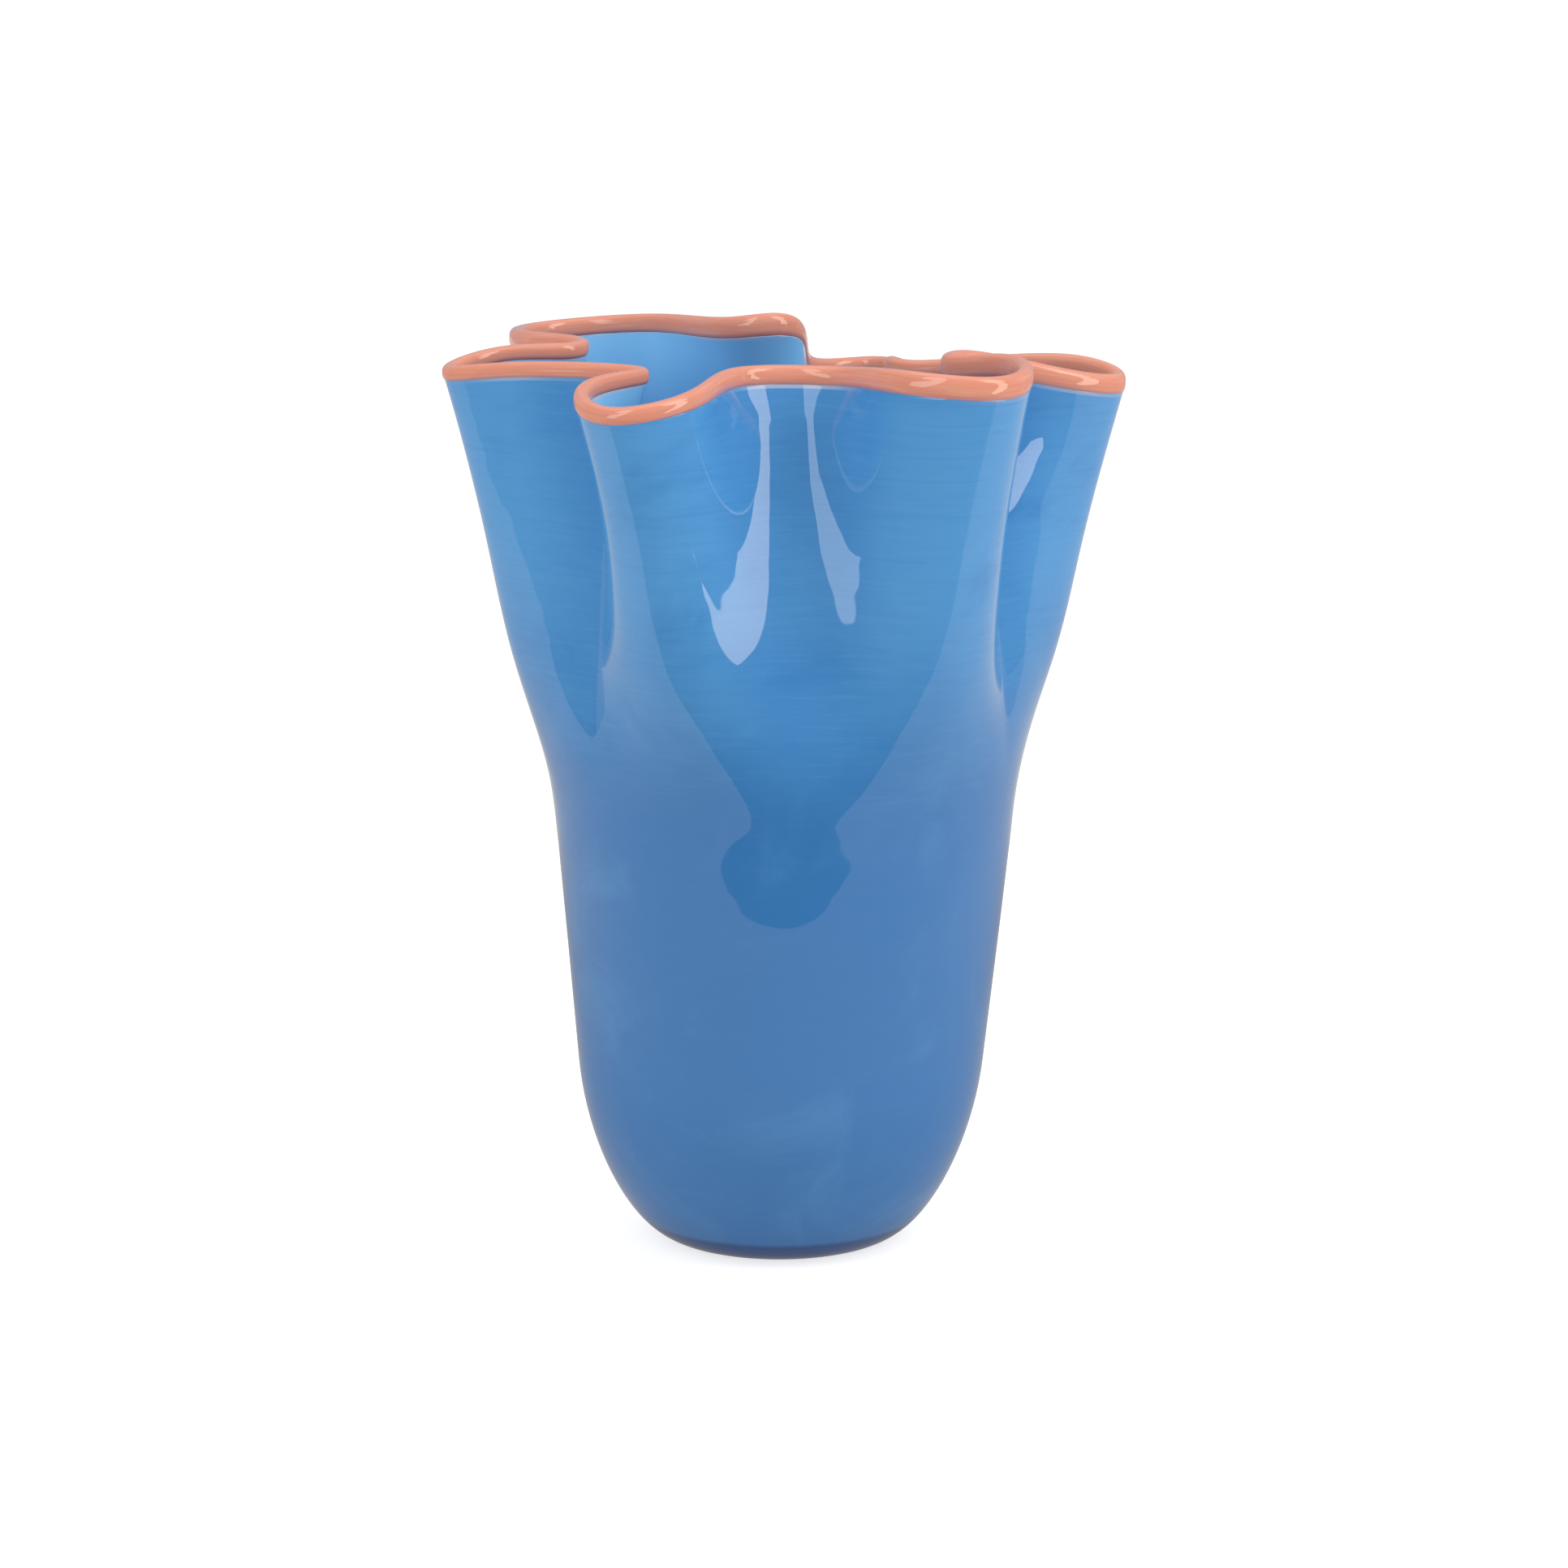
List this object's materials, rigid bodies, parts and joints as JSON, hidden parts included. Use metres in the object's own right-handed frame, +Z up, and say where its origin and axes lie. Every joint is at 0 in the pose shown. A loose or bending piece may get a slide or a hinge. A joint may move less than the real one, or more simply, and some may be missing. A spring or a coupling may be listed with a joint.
{
  "type": "ruffled glass vase",
  "caption": "Tall round blown-glass vase whose upper half opens out into deep ruffled lobes, with a contrasting glass wrap round the lip.",
  "frame": {"origin": "middle of the flat foot, on the surface that the vase stands on", "axes": "+Z up through the mouth, -Y the front, +X to the right seen from the front"},
  "size_m": [0.2203, 0.1951, 0.3025],
  "materials": {
    "blue_glass": "polished opal blue cased glass, nearly opaque, fine streaks round the body",
    "coral_glass": "polished opaque coral glass, hot-wound on the lip"
  },
  "bodies": {
    "root": {"vase_body": "blue_glass", "lip_wrap": "coral_glass"}
  },
  "joints": []
}
